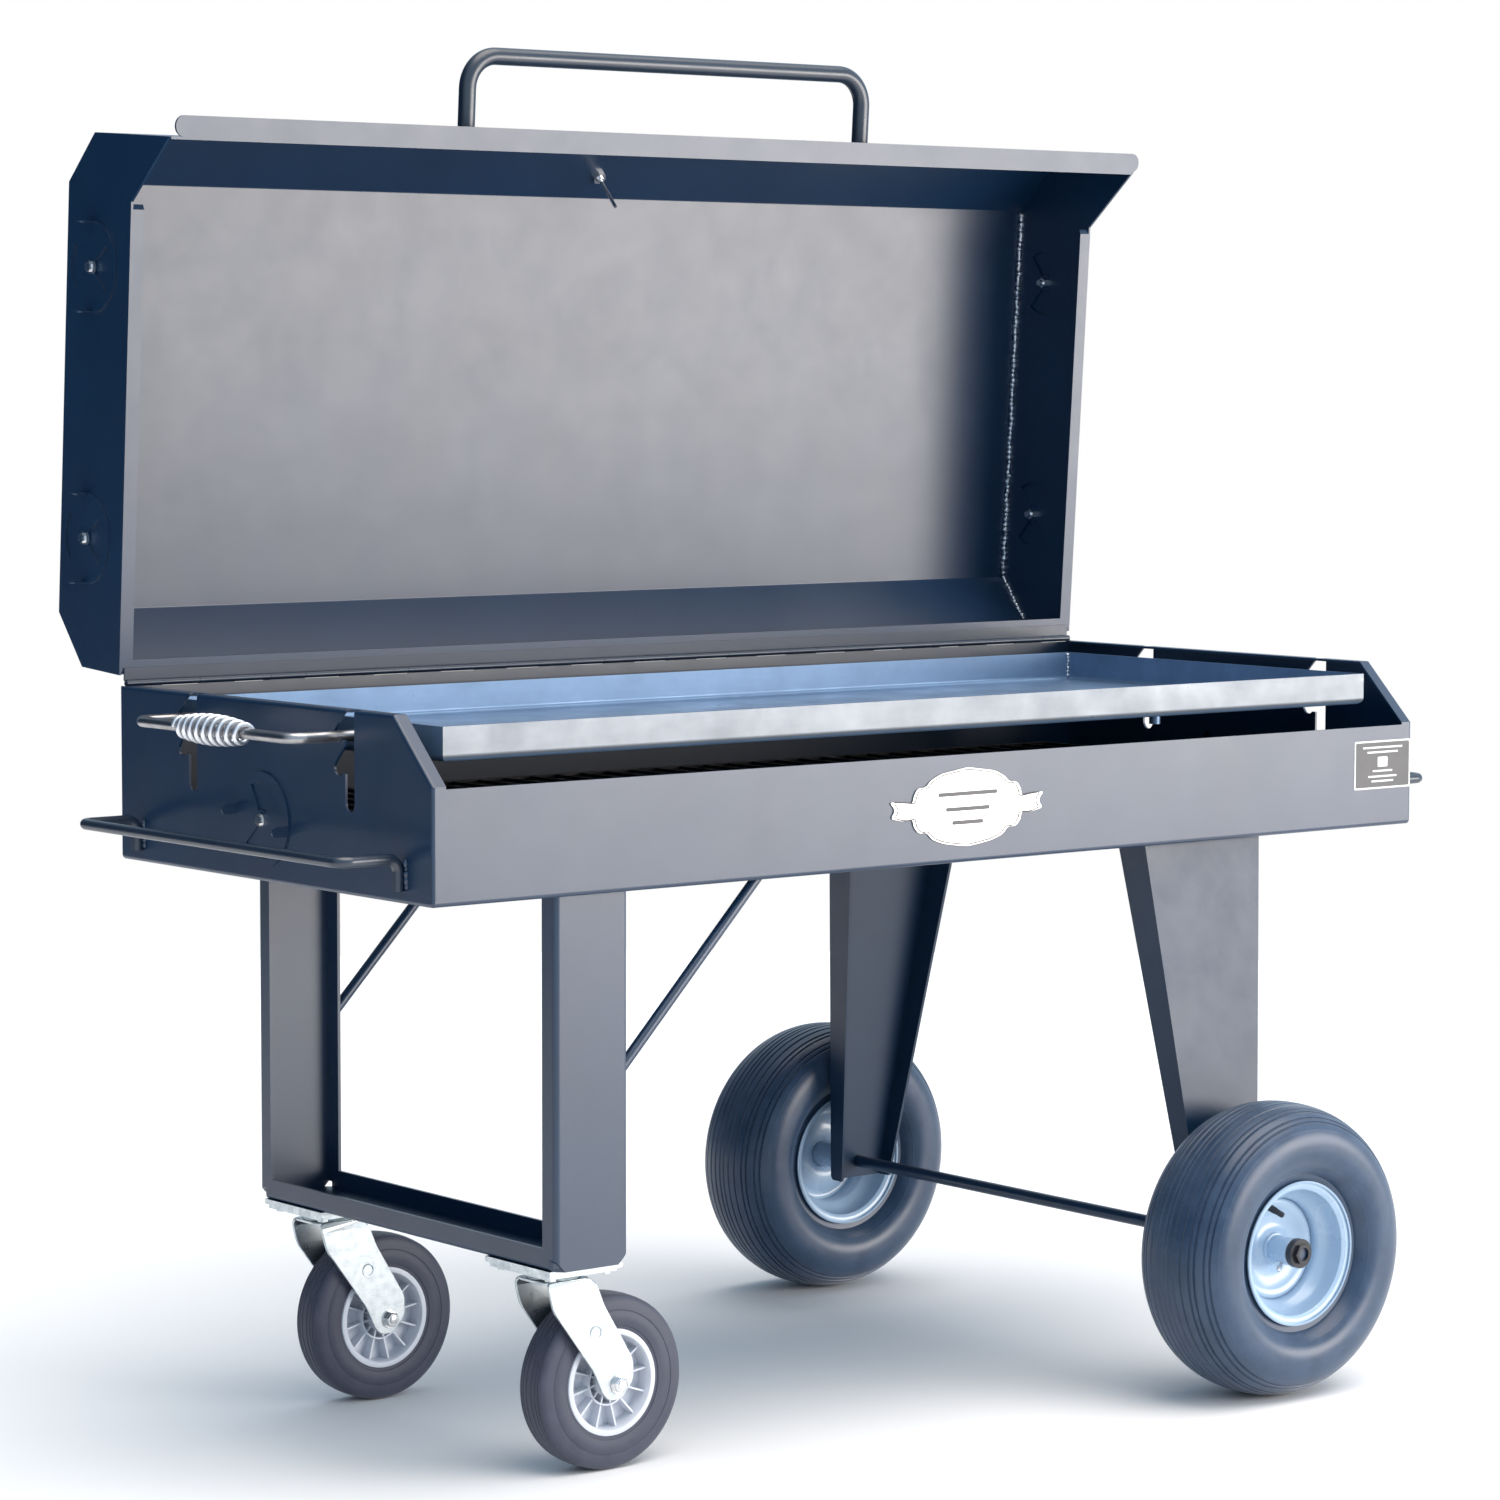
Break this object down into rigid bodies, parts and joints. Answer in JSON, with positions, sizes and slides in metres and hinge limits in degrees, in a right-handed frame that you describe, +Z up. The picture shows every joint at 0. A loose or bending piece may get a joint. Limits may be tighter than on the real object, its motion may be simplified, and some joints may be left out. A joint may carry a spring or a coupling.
{
  "type": "charcoal roaster",
  "caption": "Wheeled charcoal roaster with a long folded-sheet firebox, a hinged lid standing open, a lift-out food tray in height slots, rotary vents, swivel casters and pneumatic wheels.",
  "frame": {"origin": "on the floor under the middle of the bounding box", "axes": "+X along the firebox towards the pneumatic wheels, +Y to the hinge side, +Z up"},
  "size_m": [1.7006, 0.9992, 1.6435],
  "materials": {
    "powder_coat": "satin",
    "tray_steel": "mottled galvanised",
    "zinc_steel": "zinc plated",
    "bright_bolt": "bright",
    "raw_grate": "bare hot-rolled steel",
    "plaque": "satin",
    "glass": "clear",
    "wheel_tyre": "matte",
    "wheel_rim": "satin",
    "caster_tyre": "matte",
    "caster_hub": "satin"
  },
  "bodies": {
    "chassis": {"axle": "zinc_steel", "axle_collars": "zinc_steel", "brace_front": "powder_coat", "brace_rear": "powder_coat", "caster_crossbar": "powder_coat", "caster_leg_front": "powder_coat", "caster_leg_rear": "powder_coat", "caster_mount_front": "powder_coat", "caster_mount_rear": "powder_coat", "charcoal_grate": "raw_grate", "data_plate": "plaque", "firebox_damper_bolts": "bright_bolt", "firebox_end_left": "powder_coat", "firebox_end_right": "powder_coat", "firebox_pan": "powder_coat", "grate_rails": "raw_grate", "hinge_leaf_box": "powder_coat", "hinge_pin": "zinc_steel", "lid_stops": "powder_coat", "name_plaque": "plaque", "push_rail_left": "powder_coat", "push_rail_right": "powder_coat", "wheel_leg_front": "powder_coat", "wheel_leg_rear": "powder_coat"},
    "lid": {"hinge_leaf_lid": "powder_coat", "lid_damper_bolts": "bright_bolt", "lid_end_left": "powder_coat", "lid_end_right": "powder_coat", "lid_handle": "powder_coat", "lid_lip": "powder_coat", "lid_shell": "powder_coat", "thermometer_case": "zinc_steel", "thermometer_glass": "glass", "thermometer_stem": "zinc_steel"},
    "tray": {"grip_spring_left": "zinc_steel", "grip_spring_right": "zinc_steel", "tray_drain": "tray_steel", "tray_handle_left": "tray_steel", "tray_handle_right": "tray_steel", "tray_pan": "tray_steel"},
    "caster_swivel_front": {"caster_bolt_front": "bright_bolt", "caster_fork_front": "zinc_steel"},
    "caster_swivel_rear": {"caster_bolt_rear": "bright_bolt", "caster_fork_rear": "zinc_steel"},
    "caster_wheel_front": {"caster_hub_front": "caster_hub", "caster_tyre_front": "caster_tyre"},
    "caster_wheel_rear": {"caster_hub_rear": "caster_hub", "caster_tyre_rear": "caster_tyre"},
    "firebox_damper_left_disc": {"firebox_damper_left": "powder_coat"},
    "firebox_damper_right_disc": {"firebox_damper_right": "powder_coat"},
    "lid_damper_left_front_disc": {"lid_damper_left_front": "powder_coat"},
    "lid_damper_left_rear_disc": {"lid_damper_left_rear": "powder_coat"},
    "lid_damper_right_front_disc": {"lid_damper_right_front": "powder_coat"},
    "lid_damper_right_rear_disc": {"lid_damper_right_rear": "powder_coat"},
    "main_wheel_front": {"rim_front": "wheel_rim", "tyre_front": "wheel_tyre", "valve_front": "zinc_steel"},
    "main_wheel_rear": {"rim_rear": "wheel_rim", "tyre_rear": "wheel_tyre", "valve_rear": "zinc_steel"}
  },
  "joints": [
    {"name": "lid_hinge", "type": "hinge", "parent": "chassis", "child": "lid", "pos_m": [0, 0.319, 0.881], "axis": [1, 0, 0], "range_deg": [0, 86.2]},
    {"name": "tray_lift", "type": "slide", "parent": "chassis", "child": "tray", "axis": [0, -0.7071, 0.7071], "range_m": [0, 0.028]},
    {"name": "firebox_damper_left_turn", "type": "hinge", "parent": "chassis", "child": "firebox_damper_left_disc", "pos_m": [-0.762, 0.013, 0.743], "axis": [1, 0, 0], "range_deg": [0, 90]},
    {"name": "lid_damper_left_rear_turn", "type": "hinge", "parent": "lid", "child": "lid_damper_left_rear_disc", "pos_m": [-0.762, 0.39743, 1.05057], "axis": [1, 0, 0], "range_deg": [0, 90]},
    {"name": "lid_damper_left_front_turn", "type": "hinge", "parent": "lid", "child": "lid_damper_left_front_disc", "pos_m": [-0.762, 0.37609, 1.37186], "axis": [1, 0, 0], "range_deg": [0, 90]},
    {"name": "firebox_damper_right_turn", "type": "hinge", "parent": "chassis", "child": "firebox_damper_right_disc", "pos_m": [0.762, 0.013, 0.743], "axis": [1, 0, 0], "range_deg": [0, 90]},
    {"name": "lid_damper_right_rear_turn", "type": "hinge", "parent": "lid", "child": "lid_damper_right_rear_disc", "pos_m": [0.762, 0.39743, 1.05057], "axis": [1, 0, 0], "range_deg": [0, 90]},
    {"name": "lid_damper_right_front_turn", "type": "hinge", "parent": "lid", "child": "lid_damper_right_front_disc", "pos_m": [0.762, 0.37609, 1.37186], "axis": [1, 0, 0], "range_deg": [0, 90]},
    {"name": "caster_swivel_front_turn", "type": "hinge", "parent": "chassis", "child": "caster_swivel_front", "pos_m": [-0.533, -0.23, 0.23], "axis": [0, 0, 1], "continuous": true},
    {"name": "caster_wheel_front_spin", "type": "hinge", "parent": "caster_swivel_front", "child": "caster_wheel_front", "pos_m": [-0.467, -0.23, 0.1016], "axis": [0, 1, 0], "continuous": true},
    {"name": "main_wheel_front_spin", "type": "hinge", "parent": "chassis", "child": "main_wheel_front", "pos_m": [0.411, -0.429, 0.18], "axis": [0, 1, 0], "continuous": true},
    {"name": "caster_swivel_rear_turn", "type": "hinge", "parent": "chassis", "child": "caster_swivel_rear", "pos_m": [-0.533, 0.23, 0.23], "axis": [0, 0, 1], "continuous": true},
    {"name": "caster_wheel_rear_spin", "type": "hinge", "parent": "caster_swivel_rear", "child": "caster_wheel_rear", "pos_m": [-0.467, 0.23, 0.1016], "axis": [0, 1, 0], "continuous": true},
    {"name": "main_wheel_rear_spin", "type": "hinge", "parent": "chassis", "child": "main_wheel_rear", "pos_m": [0.411, 0.429, 0.18], "axis": [0, 1, 0], "continuous": true}
  ]
}
